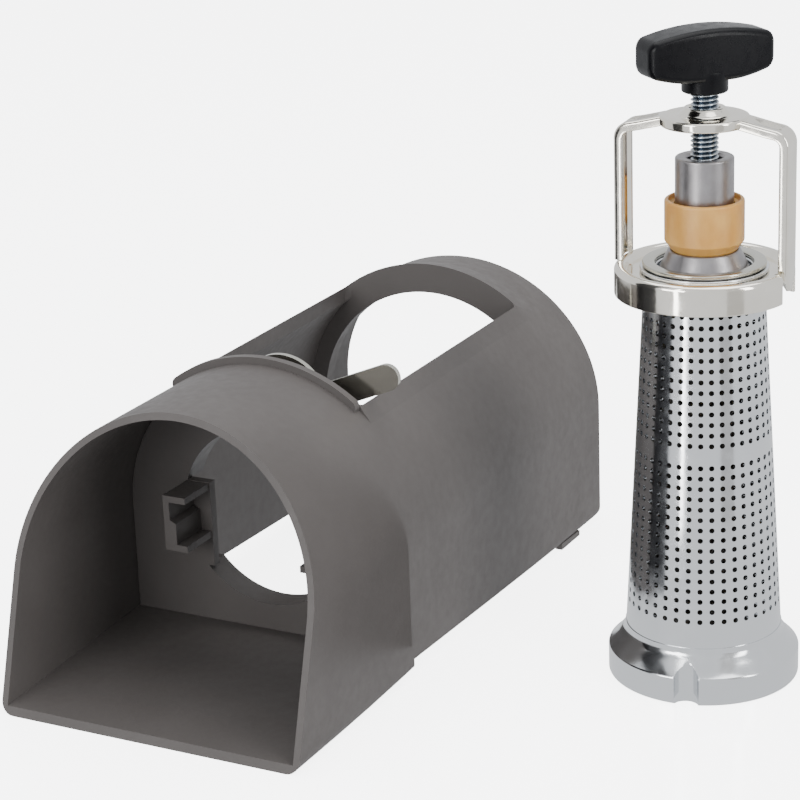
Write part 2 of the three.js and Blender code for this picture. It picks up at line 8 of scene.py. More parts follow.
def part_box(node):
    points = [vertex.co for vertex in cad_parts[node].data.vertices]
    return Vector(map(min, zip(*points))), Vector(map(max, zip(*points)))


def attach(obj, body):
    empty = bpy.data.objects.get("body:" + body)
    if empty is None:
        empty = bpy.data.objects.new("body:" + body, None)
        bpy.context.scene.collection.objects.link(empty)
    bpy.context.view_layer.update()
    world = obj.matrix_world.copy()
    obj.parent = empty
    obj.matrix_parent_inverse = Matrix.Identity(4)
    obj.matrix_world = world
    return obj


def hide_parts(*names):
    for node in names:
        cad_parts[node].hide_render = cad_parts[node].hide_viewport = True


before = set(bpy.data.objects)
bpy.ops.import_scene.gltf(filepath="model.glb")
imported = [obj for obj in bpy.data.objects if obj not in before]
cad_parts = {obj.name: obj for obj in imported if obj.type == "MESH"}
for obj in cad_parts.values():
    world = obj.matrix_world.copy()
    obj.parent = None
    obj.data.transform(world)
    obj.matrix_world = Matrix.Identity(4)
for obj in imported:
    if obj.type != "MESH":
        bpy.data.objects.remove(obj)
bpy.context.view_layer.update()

MM = 0.001
TAU = math.tau

# ---- places and sizes taken from the frame ---------------------------------------------
chute_lo, chute_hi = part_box("chute")
hood_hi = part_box("hood")[1]
flange_lo, flange_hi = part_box("base_flange")
ring_lo, ring_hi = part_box("outlet_ring")
wear_lo, wear_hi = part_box("wear_ring")
handle_lo, handle_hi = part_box("tee_handle")
worm_lo, worm_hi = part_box("feed_worm")
bush_lo, bush_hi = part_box("thrust_bush")
screw_lo, screw_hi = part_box("pressure_screw")
lever_lo, lever_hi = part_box("lock_lever")
base_lo, base_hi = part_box("yoke_base")
clip_lo, clip_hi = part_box("clip_right")

HOUSE_X = (chute_lo[0] + chute_hi[0]) / 2     # housing's centre plane
MOUTH_Y = chute_lo[1]                         # foot of the mouth
HOUSE_R = (chute_hi[0] - chute_lo[0]) / 2
AXIS_X = (flange_lo[0] + flange_hi[0]) / 2    # strainer's axis
AXIS_Y = (flange_lo[1] + flange_hi[1]) / 2

# housing details, metres from the mouth (y) and the supporting surface (z)
ARCH_Z = 39.2 * MM
CHUTE_WALL = 2.0 * MM
HOOD_WALL = 2.6 * MM
FLOOR_T = 2.6 * MM
FLOOR_RISE = 3.3 * MM
MOUTH_SLANT = 0.3
CHUTE_END = 68 * MM
HOUSE_LEN = hood_hi[1] - MOUTH_Y
HOOD_EDGE = (5.6 * MM, 1.4 * MM)
TOP_OPEN = (73.9 * MM, 178 * MM)
TOP_OPEN_HALF = 30.6 * MM
LIP_R = 50.4 * MM
LIP_Y = (71.5 * MM, 74 * MM)
LIP_HALF = 31.6 * MM
RIM_R = 49.5 * MM
RIM_HALF = 34.4 * MM
RIM_BACK = (178 * MM, 191 * MM)
RIM_SINK = 0.4 * MM
BACK_ROUND = 2 * MM
CROWN_FROM = 178 * MM                         # behind this the hood's crown falls
CROWN_BACK = 0.948                            # to this share of the arch's height
NUT_R = 40 * MM
NUT_Y = (178 * MM, 183 * MM)
EAR_Z = (23.2 * MM, 49.5 * MM)
CORNER_R = 4 * MM
CRADLE_Y = (69.5 * MM, 72.3 * MM)
CRADLE_Z = 41.3 * MM
CRADLE_R = 27.3 * MM
COLLAR_T = 2.6 * MM
COLLAR_END = 78.2 * MM
LEVER_X = 2.5 * MM
LEVER_Z = 74.6 * MM


# ---- small tools -----------------------------------------------------------------------
def srgb(code):
    """#rrggbb as linear RGBA."""
    parts = [int(code[i:i + 2], 16) / 255 for i in (1, 3, 5)]
    return tuple(c / 12.92 if c <= 0.04045 else ((c + 0.055) / 1.055) ** 2.4 for c in parts) + (1.0,)


def piece_from(bm, name):
    bmesh.ops.recalc_face_normals(bm, faces=bm.faces)
    for f in bm.faces:
        f.smooth = True
    mesh = bpy.data.meshes.new(name)
    bm.to_mesh(mesh)
    bm.free()
    obj = bpy.data.objects.new(name, mesh)
    bpy.context.scene.collection.objects.link(obj)
    return obj


def outline_face(bm, points):
    """A flat face through 3-D points."""
    return bm.faces.new([bm.verts.new(p) for p in points])


def swept(bm, points, vector):
    """A flat outline pushed along a vector into a closed solid."""
    face = outline_face(bm, points)
    out = bmesh.ops.extrude_face_region(bm, geom=[face], use_keep_orig=True)
    moved = [g for g in out["geom"] if isinstance(g, bmesh.types.BMVert)]
    bmesh.ops.translate(bm, verts=moved, vec=vector)
    return moved


def prism_y(points, y0, y1, name="prism"):
    """An (x, z) outline in the housing's own place, from y0 to y1 behind the mouth."""
    bm = bmesh.new()
    start = [(HOUSE_X + x, MOUTH_Y + y0, z) for x, z in points]
    swept(bm, start, (0, y1 - y0, 0))
    return piece_from(bm, name)


def prism_x(points, x0, x1, name="prism"):
    """A (y, z) outline behind the mouth, from x0 to x1 across the housing."""
    bm = bmesh.new()
    start = [(HOUSE_X + x0, MOUTH_Y + y, z) for y, z in points]
    swept(bm, start, (x1 - x0, 0, 0))
    return piece_from(bm, name)


def box_at(lo, hi, name="box"):
    bm = bmesh.new()
    bmesh.ops.create_cube(bm, size=1)
    size = [b - a for a, b in zip(lo, hi)]
    mid = [(a + b) / 2 for a, b in zip(lo, hi)]
    bmesh.ops.scale(bm, vec=size, verts=bm.verts)
    bmesh.ops.translate(bm, vec=mid, verts=bm.verts)
    return piece_from(bm, name)


def house_box(x0, x1, y0, y1, z0, z1, name="box"):
    return box_at((HOUSE_X + x0, MOUTH_Y + y0, z0), (HOUSE_X + x1, MOUTH_Y + y1, z1), name)


def rod_y(x, z, radius, y0, y1, segments=64, name="rod"):
    bm = bmesh.new()
    turn = Matrix.Rotation(math.pi / 2, 4, "X")
    bmesh.ops.create_cone(bm, cap_ends=True, segments=segments, radius1=radius, radius2=radius,
                          depth=y1 - y0, matrix=turn)
    bmesh.ops.translate(bm, vec=(HOUSE_X + x, MOUTH_Y + (y0 + y1) / 2, z), verts=bm.verts)
    return piece_from(bm, name)


def lathe(points, name, segments=96, centre=None):
    """A closed (radius, z) profile, in mm, spun round the strainer's axis."""
    cx, cy = centre or (AXIS_X, AXIS_Y)
    bm = bmesh.new()
    verts = [bm.verts.new((cx + r * MM, cy, z * MM)) for r, z in points]
    edges = [bm.edges.new((a, b)) for a, b in zip(verts, verts[1:])]
    if points[0][0] > 0:
        edges.append(bm.edges.new((verts[-1], verts[0])))
    bmesh.ops.spin(bm, geom=verts + edges, cent=(cx, cy, 0), axis=(0, 0, 1), angle=TAU,
                   steps=segments, use_merge=True)
    bmesh.ops.remove_doubles(bm, verts=bm.verts, dist=1e-7)
    return piece_from(bm, name)


def baked(obj):
    """The object with its modifiers applied to its mesh."""
    deps = bpy.context.evaluated_depsgraph_get()
    mesh = bpy.data.meshes.new_from_object(obj.evaluated_get(deps))
    obj.modifiers.clear()
    obj.data = mesh
    return obj


def carved(obj, cuts=(), joins=()):
    """Joins pieces to obj, then cuts others out of it, and removes them."""
    tools = [(t, "UNION") for t in joins] + [(t, "DIFFERENCE") for t in cuts]
    for tool, operation in tools:
        mod = obj.modifiers.new("carve", "BOOLEAN")
        mod.operation = operation
        mod.solver = "EXACT"
        mod.object = tool
    baked(obj)
    for tool, _ in tools:
        bpy.data.objects.remove(tool)
    bm = bmesh.new()
    bm.from_mesh(obj.data)
    bmesh.ops.remove_doubles(bm, verts=bm.verts, dist=2e-6)
    bmesh.ops.dissolve_degenerate(bm, edges=bm.edges, dist=2e-6)
    bm.to_mesh(obj.data)
    bm.free()
    return obj


def sliced(obj, stations):
    """Cuts the housing's long faces across, at mm behind the mouth, so that they shade evenly."""
    bm = bmesh.new()
    bm.from_mesh(obj.data)
    for y in stations:
        geom = list(bm.verts) + list(bm.edges) + list(bm.faces)
        cut_at = (0, MOUTH_Y + y * MM, 0)
        bmesh.ops.bisect_plane(bm, geom=geom, dist=1e-6, plane_co=cut_at, plane_no=(0, 1, 0))
    bm.to_mesh(obj.data)
    bm.free()


def softened(obj, width, segments=3, angle=32):
    """Rounds the edges as far as the shortest ones allow, and keeps the broad faces flat-shaded."""
    bevel = obj.modifiers.new("edges", "BEVEL")
    bevel.width = width * MM
    bevel.segments = segments
    bevel.limit_method = "ANGLE"
    bevel.angle_limit = math.radians(angle)
    bevel.use_clamp_overlap = True
    even = obj.modifiers.new("shading", "WEIGHTED_NORMAL")
    even.keep_sharp = True
    even.weight = 80
    for p in obj.data.polygons:
        p.use_smooth = True
    return obj


def finished(obj, body, slot, mat, *nodes):
    """Puts a piece on its body, with its finish, in the place of its CAD nodes."""
    obj.data.materials.clear()
    obj.data.materials.append(mat)
    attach(obj, body)
    if nodes:
        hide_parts(*nodes)
    return obj


def joined(objs, name):
    """Several pieces of one material as one mesh."""
    bm = bmesh.new()
    for o in objs:
        bm.from_mesh(o.data)
        bpy.data.objects.remove(o)
    mesh = bpy.data.meshes.new(name)
    bm.to_mesh(mesh)
    bm.free()
    obj = bpy.data.objects.new(name, mesh)
    bpy.context.scene.collection.objects.link(obj)
    return obj


# ---- materials -------------------------------------------------------------------------
def add(tree, kind, inputs=None, **settings):
    """Adds a node, with its settings, and its inputs as values or links."""
    node = tree.nodes.new(kind)
    for key, value in settings.items():
        setattr(node, key, value)
    for key, value in (inputs or {}).items():
        if isinstance(value, bpy.types.NodeSocket):
            tree.links.new(value, node.inputs[key])
        else:
            node.inputs[key].default_value = value
    return node


def new_material(name, **values):
    """A Principled material. Returns it, its tree, its shader and object coordinates."""
    mat = bpy.data.materials.new(name)
    mat.use_nodes = True
    tree = mat.node_tree
    shader = tree.nodes["Principled BSDF"]
    for key, value in values.items():
        shader.inputs[key.replace("_", " ")].default_value = value
    coords = add(tree, "ShaderNodeTexCoord").outputs["Object"]
    return mat, tree, shader, coords


def stretched(tree, coords, scale):
    """Coordinates scaled per axis, to draw out a pattern."""
    return add(tree, "ShaderNodeMapping", {"Vector": coords, "Scale": scale}).outputs["Vector"]


def noise(tree, coords, size_mm, detail=3.0, roughness=0.5):
    """Noise whose features are about size_mm across."""
    inputs = {"Vector": coords, "Scale": 1 / (size_mm * MM), "Detail": detail, "Roughness": roughness}
    return add(tree, "ShaderNodeTexNoise", inputs).outputs["Fac"]


def ranged(tree, value, low, high, from_low=0.3, from_high=0.7):
    inputs = {"Value": value, "From Min": from_low, "From Max": from_high, "To Min": low, "To Max": high}
    return add(tree, "ShaderNodeMapRange", inputs).outputs["Result"]


def mixed(tree, factor, a, b):
    inputs = {"Factor": factor, "A": a, "B": b}
    node = add(tree, "ShaderNodeMix", data_type="RGBA")
    for key, value in inputs.items():
        kind = "VALUE" if key == "Factor" else "RGBA"
        sockets = [s for s in node.inputs if s.name == key and s.type == kind]
        if isinstance(value, bpy.types.NodeSocket):
            tree.links.new(value, sockets[0])
        else:
            sockets[0].default_value = value
    return [s for s in node.outputs if s.type == "RGBA"][0]


def bumped(tree, shader, height, depth_mm, below=None):
    """Adds relief to a shader; returns the normal, to lay finer relief on it."""
    inputs = {"Height": height, "Distance": depth_mm * MM, "Strength": 1.0}
    if below is not None:
        inputs["Normal"] = below
    normal = add(tree, "ShaderNodeBump", inputs).outputs["Normal"]
    tree.links.new(normal, shader.inputs["Normal"])
    return normal


def grey_moulding():
    mat, tree, shader, xyz = new_material("grey_abs_moulding", Roughness=0.5, Specular_IOR_Level=0.3)
    # slow drift of tone, as pigment has in a moulded wall
    drift = noise(tree, xyz, 38, 2)
    colour = mixed(tree, ranged(tree, drift, 0, 1), srgb("#4d4947"), srgb("#534f4d"))
    tree.links.new(colour, shader.inputs["Base Color"])
    # eroded mould texture: fine satin grain
    grain = noise(tree, xyz, 0.28, 2, 0.6)
    below = bumped(tree, shader, grain, 0.012)
    # faint unevenness that softens reflections on the long walls
    bumped(tree, shader, noise(tree, xyz, 14, 1), 0.03, below)
    tree.links.new(ranged(tree, noise(tree, xyz, 3, 4), 0.44, 0.56), shader.inputs["Roughness"])
    return mat


def polished_steel():
    mat, tree, shader, xyz = new_material("polished_stainless", Metallic=1.0)
    shader.inputs["Base Color"].default_value = srgb("#dddfe1")
    # spun sheet: soft ripples along the height bend the reflections
    ripple = noise(tree, stretched(tree, xyz, (1, 1, 0.35)), 9, 2)
    below = bumped(tree, shader, ripple, 0.05)
    # fine polishing lines that run round
    lines = noise(tree, stretched(tree, xyz, (0.08, 0.08, 1)), 0.25, 2)
    bumped(tree, shader, lines, 0.0012, below)
    tree.links.new(ranged(tree, noise(tree, xyz, 4, 4), 0.1, 0.22), shader.inputs["Roughness"])
    return mat


def nickel_plate():
    mat, tree, shader, xyz = new_material("bright_nickel_plate", Metallic=1.0)
    # plate is warmer where it is thin
    tone = mixed(tree, ranged(tree, noise(tree, xyz, 12, 2), 0, 1), srgb("#f6f1e7"), srgb("#ece7db"))
    tree.links.new(tone, shader.inputs["Base Color"])
    # pressed sheet is never quite flat
    bumped(tree, shader, noise(tree, xyz, 5, 2), 0.03)
    tree.links.new(ranged(tree, noise(tree, xyz, 2.5, 4), 0.07, 0.16), shader.inputs["Roughness"])
    return mat


def stainless():
    mat, tree, shader, xyz = new_material("brushed_stainless", Metallic=1.0)
    shader.inputs["Base Color"].default_value = srgb("#c4c2b8")
    # brushing across the sheet
    lines = noise(tree, stretched(tree, xyz, (0.05, 1, 1)), 0.35, 3)
    bumped(tree, shader, lines, 0.0006)
    tree.links.new(ranged(tree, lines, 0.14, 0.24), shader.inputs["Roughness"])
    return mat


def turned_steel():
    mat, tree, shader, xyz = new_material("turned_steel", Metallic=1.0)
    tone = mixed(tree, ranged(tree, noise(tree, xyz, 6, 3), 0, 1), srgb("#a5a2a3"), srgb("#908d8e"))
    tree.links.new(tone, shader.inputs["Base Color"])
    # tool marks: fine rings up the bush
    marks = noise(tree, stretched(tree, xyz, (0.02, 0.02, 1)), 0.18, 2)
    bumped(tree, shader, marks, 0.006)
    tree.links.new(ranged(tree, noise(tree, xyz, 1.5, 3), 0.3, 0.42), shader.inputs["Roughness"])
    return mat


def zinc_plate():
    mat, tree, shader, xyz = new_material("zinc_plated_thread", Metallic=1.0)
    # bluish passivation tone; painted shade in the thread roots: darker towards the axis, while the crests
    # keep the plain tone
    tone = mixed(tree, ranged(tree, noise(tree, xyz, 1.2, 4), 0, 1), srgb("#c3ced8"), srgb("#e3e9ee"))
    to_axis = {"Vector": xyz, "Location": (-AXIS_X, -AXIS_Y, 0), "Scale": (1, 1, 0)}
    centred = add(tree, "ShaderNodeMapping", to_axis).outputs["Vector"]
    radius = add(tree, "ShaderNodeVectorMath", {0: centred}, operation="LENGTH").outputs["Value"]
    # radius mask for the painted root shade: 0 in the thread roots, 1 on the crests
    crest = ranged(tree, radius, 0, 1, 3.2 * MM, 3.8 * MM)
    tree.links.new(mixed(tree, crest, srgb("#27323f"), tone), shader.inputs["Base Color"])
    bumped(tree, shader, noise(tree, xyz, 0.3, 2), 0.006)
    tree.links.new(ranged(tree, noise(tree, xyz, 0.8, 3), 0.2, 0.34), shader.inputs["Roughness"])
    return mat


def amber_nylon():
    mat, tree, shader, xyz = new_material("amber_nylon", Subsurface_Weight=0.3, Subsurface_Scale=2.5 * MM,
                                          Specular_IOR_Level=0.5)
    shader.inputs["Subsurface Radius"].default_value = (1.0, 0.55, 0.2)
    # cloudy cast nylon: honey with paler drifts
    cloud = noise(tree, stretched(tree, xyz, (1, 1, 0.6)), 5, 4)
    honey = mixed(tree, ranged(tree, cloud, 0, 1), srgb("#c08a3e"), srgb("#d0a055"))
    # painted shade: below the neck, inside the cone, the worm is coloured dark
    height = add(tree, "ShaderNodeSeparateXYZ", {"Vector": xyz}).outputs["Z"]
    above_painted_shade = ranged(tree, height, 0, 1, 112 * MM, 120 * MM)
    tree.links.new(mixed(tree, above_painted_shade, srgb("#3b352c"), honey), shader.inputs["Base Color"])
    # traces of the turning tool
    below = bumped(tree, shader, noise(tree, stretched(tree, xyz, (0.03, 0.03, 1)), 0.3, 2), 0.004)
    bumped(tree, shader, noise(tree, xyz, 3, 2), 0.02, below)
    tree.links.new(ranged(tree, noise(tree, xyz, 1.5, 3), 0.3, 0.42), shader.inputs["Roughness"])
    return mat


def black_handle():
    mat, tree, shader, xyz = new_material("black_phenolic", Specular_IOR_Level=0.16)
    shader.inputs["Base Color"].default_value = srgb("#0a0a0d")
    # faint orange peel under the gloss
    below = bumped(tree, shader, noise(tree, xyz, 1.6, 2), 0.012)
    bumped(tree, shader, noise(tree, xyz, 0.2, 2), 0.0015, below)
    tree.links.new(ranged(tree, noise(tree, xyz, 2.5, 3), 0.22, 0.36), shader.inputs["Roughness"])
    return mat


def table_top():
    # strongly back-lit white acrylic: it reads as an even, nearly pure white
    glow = {"Specular_IOR_Level": 0.5, "Emission_Strength": 5.0}
    mat, tree, shader, xyz = new_material("white_acrylic_table", **glow)
    shader.inputs["Emission Color"].default_value = (1, 1, 1, 1)
    tone = mixed(tree, ranged(tree, noise(tree, xyz, 240, 2), 0, 1), srgb("#f4f5f7"), srgb("#f8f8f9"))
    tree.links.new(tone, shader.inputs["Base Color"])
    tree.links.new(ranged(tree, noise(tree, xyz, 30, 2), 0.1, 0.16), shader.inputs["Roughness"])
    return mat


GREY = grey_moulding()
POLISHED = polished_steel()
NICKEL = nickel_plate()
STAINLESS = stainless()
TURNED = turned_steel()
ZINC = zinc_plate()
NYLON = amber_nylon()
BLACK = black_handle()


# ---- housing ---------------------------------------------------------------------------
def arch(radius, z0, corner=0.0, share=1.0, steps=72):
    """Arch on straight sides, with rounded lower corners; its height is a share of its radius."""
    points = []
    if corner:
        for sign in (-1, 1):
            for i in range(7):
                a = math.pi / 2 * i / 6
                x = radius - corner + corner * math.sin(a)
                z = z0 + corner - corner * math.cos(a)
                points.append((sign * x, z))
            if sign < 0:
                points.reverse()
    else:
        points += [(-radius, z0), (radius, z0)]
    for i in range(steps + 1):
        a = math.pi * i / steps
        points.append((radius * math.cos(a), ARCH_Z + share * radius * math.sin(a)))
    return points


def crown_share(y):
    """Height of the hood's arch at y, as a share of its radius."""
    return 1 - (1 - CROWN_BACK) * max(y - CROWN_FROM, 0) / (HOUSE_LEN - CROWN_FROM)


def outer_block():
    """The whole arch, its crown falling towards the back, with its back edge rounded."""
    bm = bmesh.new()
    start = [(HOUSE_X + x, MOUTH_Y - MM, z) for x, z in arch(HOUSE_R, 0, CORNER_R)]
    middle = set(swept(bm, start, (0, CROWN_FROM + MM, 0)))
    cap = [f for f in bm.faces if middle.issuperset(f.verts)]
    out = bmesh.ops.extrude_face_region(bm, geom=cap)
    back = {g for g in out["geom"] if isinstance(g, bmesh.types.BMVert)}
    for v in back:
        v.co.y = MOUTH_Y + HOUSE_LEN
        v.co.z = min(v.co.z, ARCH_Z) + CROWN_BACK * max(v.co.z - ARCH_Z, 0)
    inside = [f for f in bm.faces if middle.issuperset(f.verts)]
    bmesh.ops.delete(bm, geom=inside, context="FACES_ONLY")
    edges = [e for e in bm.edges if back.issuperset(e.verts)]
    bmesh.ops.bevel(bm, geom=edges, offset=BACK_ROUND, segments=5, profile=0.5, affect="EDGES", material=-1)
    return piece_from(bm, "housing_moulding")


def floor_line(z):
    """Lower side of everything above the chute's sloping floor."""
    slope = FLOOR_RISE / CHUTE_END
    y0, y1 = -20 * MM, CHUTE_END + 20 * MM
    return [(y0, -40 * MM), (y1, -40 * MM), (y1, z + y1 * slope), (y0, z + y0 * slope)]


def underside():
    """What is cut away under the chute and under the hood, up to the rounded back corner."""
    slope = FLOOR_RISE / CHUTE_END
    radius = 5 * MM
    end = HOUSE_LEN
    points = [(-20 * MM, -40 * MM), (-20 * MM, -20 * MM * slope), (CHUTE_END, FLOOR_RISE),
              (CHUTE_END, HOOD_EDGE[0]), (end - radius, HOOD_EDGE[1])]
    for i in range(1, 9):
        a = math.pi / 2 * i / 8
        points.append((end - radius + radius * math.sin(a), HOOD_EDGE[1] + radius * (1 - math.cos(a))))
    points += [(end + 20 * MM, HOOD_EDGE[1] + radius), (end + 20 * MM, -40 * MM)]
    return prism_x(points, -60 * MM, 60 * MM)


def mouth_cut():
    high = 120 * MM
    low = -10 * MM
    front = -40 * MM
    points = [(front, low), (low * MOUTH_SLANT, low), (high * MOUTH_SLANT, high), (front, high)]
    return prism_x(points, -60 * MM, 60 * MM)


def chute_void():
    void = prism_y(arch(HOUSE_R - CHUTE_WALL, -6 * MM), -3 * MM, CRADLE_Y[1])
    return carved(void, [prism_x(floor_line(FLOOR_T), -60 * MM, 60 * MM)])


def rounded_rectangle(x0, x1, y0, y1, radius, steps=6):
    points = []
    corners = [(x1 - radius, y0 + radius, -90), (x1 - radius, y1 - radius, 0),
               (x0 + radius, y1 - radius, 90), (x0 + radius, y0 + radius, 180)]
    for cx, cy, turn in corners:
        for i in range(steps + 1):
            a = math.radians(turn + 90 * i / steps)
            points.append((cx + radius * math.cos(a), cy + radius * math.sin(a)))
    return points


def top_opening():
    bm = bmesh.new()
    plan = rounded_rectangle(-TOP_OPEN_HALF, TOP_OPEN_HALF, *TOP_OPEN, 2 * MM)
    swept(bm, [(HOUSE_X + x, MOUTH_Y + y, 58 * MM) for x, y in plan], (0, 0, 60 * MM))
    return piece_from(bm, "opening")


def lip():
    """Raised band along the front of the top opening, with rounded ends."""
    half = math.asin(LIP_HALF / LIP_R)
    end_round = 2.8 * MM
    inner = HOUSE_R - MM
    steps = 96
    outer_line, inner_line = [], []
    for i in range(steps + 1):
        k = 2 * i / steps - 1
        a = math.pi / 2 + half * math.sin(k * math.pi / 2)
        to_end = LIP_R * half * (1 - abs(math.sin(k * math.pi / 2)))
        short = max(end_round - to_end, 0)
        r = LIP_R - end_round + math.sqrt(end_round ** 2 - short ** 2)
        outer_line.append((r * math.cos(a), ARCH_Z + r * math.sin(a)))
        inner_line.append((inner * math.cos(a), ARCH_Z + inner * math.sin(a)))
    return prism_y(outer_line + inner_line[::-1], *LIP_Y)


def rim_points(radius, y):
    """Section of the low rim: an arc over the opening and a flat shoulder on each side."""
    half = math.asin(TOP_OPEN_HALF / radius)
    share = crown_share(y)
    foot = ARCH_Z + share * math.sqrt(HOUSE_R ** 2 - RIM_HALF ** 2) - 0.2 * MM
    section = [(RIM_HALF, foot), (-RIM_HALF, foot)]
    for i in range(33):
        a = math.pi / 2 + half * (1 - i / 16)
        section.append((radius * math.cos(a), ARCH_Z + share * radius * math.sin(a)))
    return [(HOUSE_X + x, MOUTH_Y + y, z) for x, z in section]


def rim(sections, name):
    """The rim between two of its sections."""
    bm = bmesh.new()
    verts = [bm.verts.new(p) for radius, y in sections for p in rim_points(radius, y)]
    bmesh.ops.convex_hull(bm, input=verts)
    loose = [v for v in bm.verts if not v.link_faces]
    bmesh.ops.delete(bm, geom=loose, context="VERTS")
    bmesh.ops.dissolve_limit(bm, angle_limit=math.radians(0.5), verts=bm.verts, edges=bm.edges)
    return piece_from(bm, name)


def cradle_wall():
    """Cross wall with its round opening, collar and the lever's boss."""
    reach = HOUSE_R - HOOD_WALL + 0.3 * MM
    floor = FLOOR_RISE + FLOOR_T - 0.4 * MM
    wall = prism_y(arch(reach, floor), *CRADLE_Y, name="cradle_wall")
    collar = rod_y(0, CRADLE_Z, CRADLE_R + COLLAR_T, CRADLE_Y[0] + 0.3 * MM, COLLAR_END, 96)
    boss = rod_y(LEVER_X, LEVER_Z, 5.5 * MM, CRADLE_Y[0] + 0.3 * MM, 78.7 * MM, 48)
    gap = house_box(-40 * MM, 40 * MM, CRADLE_Y[1], COLLAR_END + MM, *EAR_Z)
    carved(collar, [gap])
    hole = rod_y(0, CRADLE_Z, CRADLE_R, CRADLE_Y[0] - 3 * MM, COLLAR_END + 3 * MM, 96)
    ears = [house_box(*sorted((s * 18.5 * MM, s * 40 * MM)), CRADLE_Y[0] - 4 * MM, CRADLE_Y[1], *EAR_Z)
            for s in (-1, 1)]
    carved(hole, ears)
    return carved(wall, [hole], [collar, boss])


def clip(side):
    """Channel clip on the cradle wall, open to the middle, its lower half deeper set."""
    a, b = side * 18.8 * MM, side * 26.3 * MM
    t = 2 * MM
    z0, z1 = clip_lo[2], clip_hi[2]
    mid = (z0 + z1) / 2
    base = b - side * t
    deep = b - side * 2 * t
    points = [(a, z0), (a, z0 + t), (deep, z0 + t), (deep, mid), (base, mid + MM), (base, z1 - t),
              (a, z1 - t), (a, z1), (b, z1), (b, z0)]
    return prism_y(points, 56 * MM, CRADLE_Y[0] + 0.1 * MM)


def housing_moulding():
    """Chute, hood, cradle and clips, moulded in one."""
    hood_void = prism_y(arch(HOUSE_R - HOOD_WALL, -10 * MM), CRADLE_Y[1] - 0.01 * MM, NUT_Y[0])
    nut_void = prism_y(arch(NUT_R, -10 * MM), NUT_Y[0] - MM, NUT_Y[1] + MM)
    back_void = prism_y(arch(HOUSE_R - HOOD_WALL, -10 * MM, share=CROWN_BACK), NUT_Y[1], HOUSE_LEN + 5 * MM)
    cuts = [chute_void(), hood_void, nut_void, back_void, top_opening(), mouth_cut(), underside()]
    rims = [rim([(RIM_R, LIP_Y[1] - 0.1 * MM), (RIM_R, RIM_BACK[0])], "rim"),
            rim([(RIM_R, RIM_BACK[0] - 0.1 * MM), (HOUSE_R - RIM_SINK, RIM_BACK[1])], "rim_end")]
    shell = carved(outer_block(), cuts, [lip()] + rims)
    inside = carved(cradle_wall(), [], [clip(1), clip(-1)])
    moulding = carved(shell, [], [inside])
    sliced(moulding, [30, 38, 46, 54, 62, 68, 80, 96, 112, 128, 144, 160, 176, 186, 194])
    softened(moulding, 0.5, 3)
    nodes = ("chute", "hood", "cradle", "clip_left", "clip_right")
    return finished(moulding, "housing", "grey_moulding", GREY, *nodes)


def lever_plate():
    """Thin plate: a round cam with one flat, and a thumb tab with a round end."""
    y0, y1 = lever_lo[1] - MOUTH_Y, lever_hi[1] - MOUTH_Y
    half = 3.9 * MM
    reach = 39.7 * MM - half
    drop = 2.8 * MM
    points = [(0, -drop - half)]
    for i in range(17):
        a = -math.pi / 2 + math.pi * i / 16
        points.append((reach + half * math.cos(a), -drop + half * math.sin(a)))
    points.append((0, half - drop))
    tilt = math.radians(22.5)
    c, s = math.cos(tilt), math.sin(tilt)
    turned = [(LEVER_X + x * c - z * s, LEVER_Z + x * s + z * c) for x, z in points]
    tab = prism_y(turned, y0, y1)
    plate = rod_y(LEVER_X, LEVER_Z, 14 * MM, y0, y1, 96, "lever_plate")
    flat = house_box(-30 * MM, -8.5 * MM, y0 - MM, y1 + MM, -30 * MM, 30 * MM)
    pivot = Vector((HOUSE_X + LEVER_X, 0, LEVER_Z))
    flat.data.transform(Matrix.Translation((-HOUSE_X, 0, 0)))
    flat.data.transform(Matrix.Translation(pivot) @ Matrix.Rotation(math.radians(12), 4, "Y"))
    bore = rod_y(LEVER_X, LEVER_Z, 2.5 * MM, y0 - MM, y1 + MM, 32)
    carved(plate, [flat, bore], [tab])
    softened(plate, 0.45, 4)
    return finished(plate, "lever", "stainless", STAINLESS, "lock_lever")


def lever_rivet():
    """Domed rivet head on its shank."""
    lo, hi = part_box("lever_pin")
    bm = bmesh.new()
    radius = (hi[0] - lo[0]) / 2
    x, z = (lo[0] + hi[0]) / 2, (lo[2] + hi[2]) / 2
    dome = 2.4 * MM
    profile = [(0, hi[1])]
    for i in range(1, 9):
        a = math.pi / 2 * i / 8
        profile.append((radius * math.sin(a), hi[1] - dome * (1 - math.cos(a))))
    profile += [(2.4 * MM, hi[1] - dome), (2.4 * MM, lo[1]), (0, lo[1])]
    verts = [bm.verts.new((x + r, y, z)) for r, y in profile]
    edges = [bm.edges.new(pair) for pair in zip(verts, verts[1:])]
    bmesh.ops.spin(bm, geom=verts + edges, cent=(x, 0, z), axis=(0, 1, 0),
                   angle=TAU, steps=48, use_merge=True)
    bmesh.ops.remove_doubles(bm, verts=bm.verts, dist=1e-7)
    rivet = piece_from(bm, "lever_rivet")
    return finished(rivet, "housing", "stainless", STAINLESS, "lever_pin")


# ---- strainer --------------------------------------------------------------------------
CONE_Z = (15.5, 116.6)                 # mm
CONE_R = (21.9, 16.5)
HOLE_COLUMNS = 40
HOLE_R = 0.76
HOLE_PHASE = math.radians(0.6)
UPPER_ROWS = [73.8 + 3.0 * i for i in range(13)]
LOWER_ROWS = [23.0 + 2.97 * i for i in range(16)]


def cone_radius(z):
    k = (z - CONE_Z[0]) / (CONE_Z[1] - CONE_Z[0])
    return CONE_R[0] + (CONE_R[1] - CONE_R[0]) * min(max(k, 0), 1)


def cone_point(angle, z):
    r = cone_radius(z) * MM
    return (AXIS_X + r * math.cos(angle), AXIS_Y + r * math.sin(angle), z * MM)


def sharpened(obj):
    """Keeps the sheet's shading clear of the hole walls that the open edges will get."""
    bm = bmesh.new()
    bm.from_mesh(obj.data)
    for e in bm.edges:
        if e.is_boundary:
            e.smooth = False
    bm.to_mesh(obj.data)
    bm.free()


